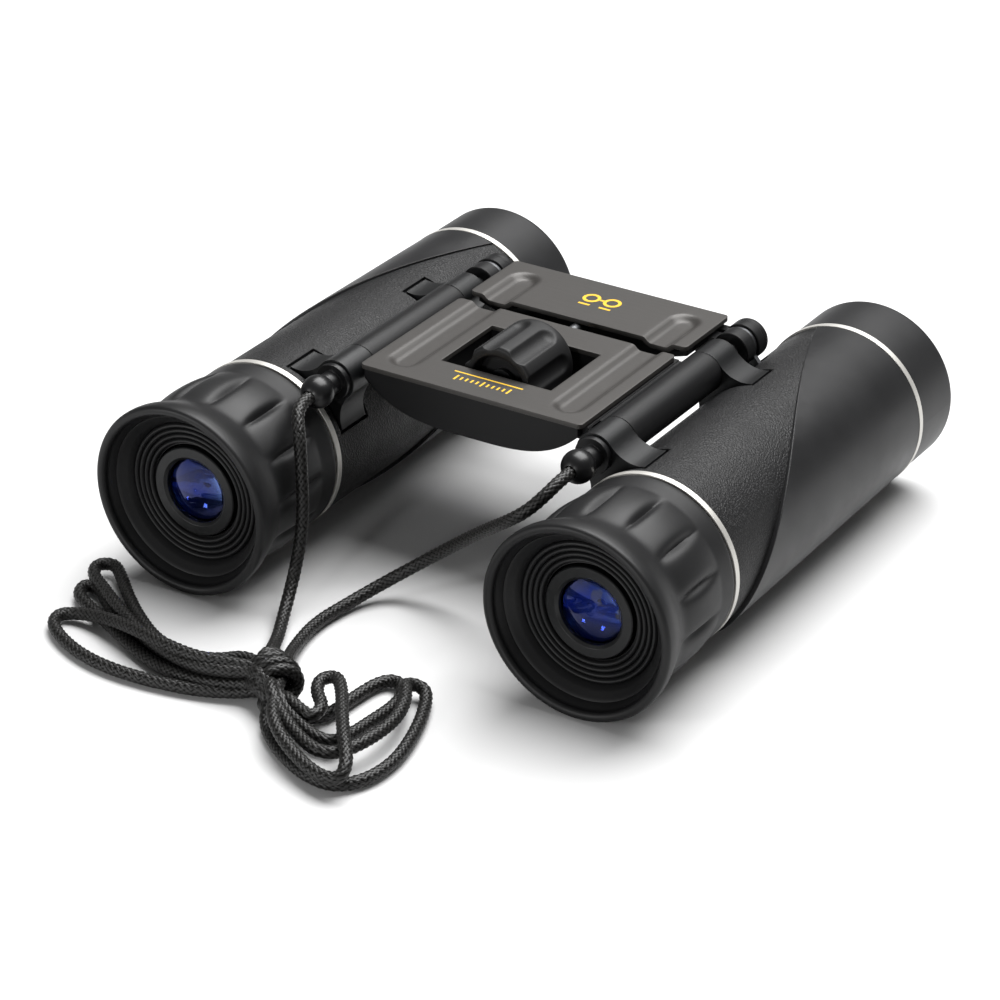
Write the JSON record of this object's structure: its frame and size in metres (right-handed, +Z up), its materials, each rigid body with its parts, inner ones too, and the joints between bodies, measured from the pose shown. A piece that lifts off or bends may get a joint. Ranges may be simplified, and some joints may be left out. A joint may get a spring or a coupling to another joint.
{
  "type": "binoculars",
  "caption": "Compact folding roof-prism binoculars with a centre focus wheel, hinged barrels, rubber eyecups and a knotted neck cord.",
  "frame": {"origin": "bottom centre of the open instrument, without its neck cord", "axes": "+X to the user's right, +Y the viewing direction, +Z up"},
  "size_m": [0.108, 0.1408, 0.0388],
  "materials": {
    "armour_rubber": "smooth moulded rubber, satin",
    "grip_rubber": "fine leather-grain grip rubber, matt",
    "eyecup_rubber": "soft rubber, matt",
    "hood_rubber": "firm rubber, satin",
    "barrel_aluminium": "black anodised tube, unseen under the skins",
    "trim_metal": "turned, bright satin",
    "black_anodised": "black anodised, satin",
    "optical_plastic": "black moulded",
    "coated_glass": "polished, blue anti-reflection coating",
    "plain_glass": "polished",
    "frame_plastic": "black moulded, fine satin",
    "cover_metal": "dark grey anodised, brushed across",
    "wheel_rubber": "charcoal, satin",
    "steel": "turned",
    "brass": "machined",
    "post_metal": "black, gloss",
    "cord_nylon": "braided black nylon"
  },
  "bodies": {
    "bridge": {"bridge_frame": "frame_plastic", "rear_cover_plate": "cover_metal", "cover_screws": "steel", "left_hinge_pin": "steel", "right_hinge_pin": "steel", "left_strap_post": "post_metal", "right_strap_post": "post_metal", "screw_bush": "brass", "left_cord_strand": "cord_nylon", "right_cord_strand": "cord_nylon", "cord_knot": "cord_nylon", "left_cord_loops": "cord_nylon", "right_cord_loops": "cord_nylon"},
    "focus_wheel": {"focus_wheel": "wheel_rubber", "focus_screw": "steel", "wheel_cap_screw": "steel"},
    "focus_carriage": {"front_cover_plate": "cover_metal", "focus_carriage": "frame_plastic", "focus_nut": "brass", "left_focus_rod": "steel", "right_focus_rod": "steel", "left_rod_cap": "frame_plastic", "right_rod_cap": "frame_plastic"},
    "left_barrel": {"left_barrel_shell": "barrel_aluminium", "left_grip_armour": "grip_rubber", "left_front_armour": "armour_rubber", "left_rear_trim_ring": "trim_metal", "left_front_trim_ring": "trim_metal", "left_objective_hood": "hood_rubber", "left_prism_cage": "optical_plastic", "left_schmidt_prism": "plain_glass", "left_half_prism": "plain_glass", "left_eyecup": "eyecup_rubber", "left_eye_cell": "black_anodised", "left_eye_lens": "coated_glass", "left_field_lens": "plain_glass"},
    "right_barrel": {"right_barrel_shell": "barrel_aluminium", "right_grip_armour": "grip_rubber", "right_front_armour": "armour_rubber", "right_rear_trim_ring": "trim_metal", "right_front_trim_ring": "trim_metal", "right_objective_hood": "hood_rubber", "right_prism_cage": "optical_plastic", "right_schmidt_prism": "plain_glass", "right_half_prism": "plain_glass"},
    "left_objective": {"left_objective_cell": "optical_plastic", "left_objective_lens": "coated_glass", "left_objective_retainer": "black_anodised", "left_focus_arm": "steel"},
    "right_objective": {"right_objective_cell": "optical_plastic", "right_objective_lens": "coated_glass", "right_objective_retainer": "black_anodised", "right_focus_arm": "steel"},
    "right_diopter": {"right_eyecup": "eyecup_rubber"},
    "right_eyepiece": {"right_eye_cell": "black_anodised", "right_eye_lens": "coated_glass", "right_field_lens": "plain_glass"}
  },
  "joints": [
    {"name": "left_fold", "type": "hinge", "parent": "bridge", "child": "left_barrel", "pos_m": [-0.0247, 0, 0.0308], "axis": [0, -1, 0], "range_deg": [0, 60], "deforming": ["left_cord_strand"]},
    {"name": "right_fold", "type": "hinge", "parent": "bridge", "child": "right_barrel", "pos_m": [0.0247, 0, 0.0308], "axis": [0, 1, 0], "range_deg": [0, 60], "deforming": ["right_cord_strand"]},
    {"name": "focus_turn", "type": "hinge", "parent": "bridge", "child": "focus_wheel", "pos_m": [0, -0.006, 0.032], "axis": [0, 1, 0], "range_deg": [-225, 225]},
    {"name": "focus_slide", "type": "slide", "parent": "bridge", "child": "focus_carriage", "axis": [0, 1, 0], "range_m": [-0.0025, 0.0025]},
    {"name": "left_objective_slide", "type": "slide", "parent": "left_barrel", "child": "left_objective", "axis": [0, 1, 0], "range_m": [-0.0025, 0.0025]},
    {"name": "right_objective_slide", "type": "slide", "parent": "right_barrel", "child": "right_objective", "axis": [0, 1, 0], "range_m": [-0.0025, 0.0025]},
    {"name": "diopter_turn", "type": "hinge", "parent": "right_barrel", "child": "right_diopter", "pos_m": [0.0373, -0.04, 0.0167], "axis": [0, 1, 0], "range_deg": [-40, 40]},
    {"name": "diopter_slide", "type": "slide", "parent": "right_barrel", "child": "right_eyepiece", "axis": [0, 1, 0], "range_m": [-0.0008, 0.0008]}
  ],
  "couplings": [
    {"joint": "focus_turn", "follows": "focus_slide", "rad_per_m": 1570.8},
    {"joint": "left_objective_slide", "follows": "focus_slide", "ratio": 1},
    {"joint": "right_objective_slide", "follows": "focus_slide", "ratio": 1},
    {"joint": "diopter_slide", "follows": "diopter_turn", "m_per_rad": 0.0011141}
  ]
}
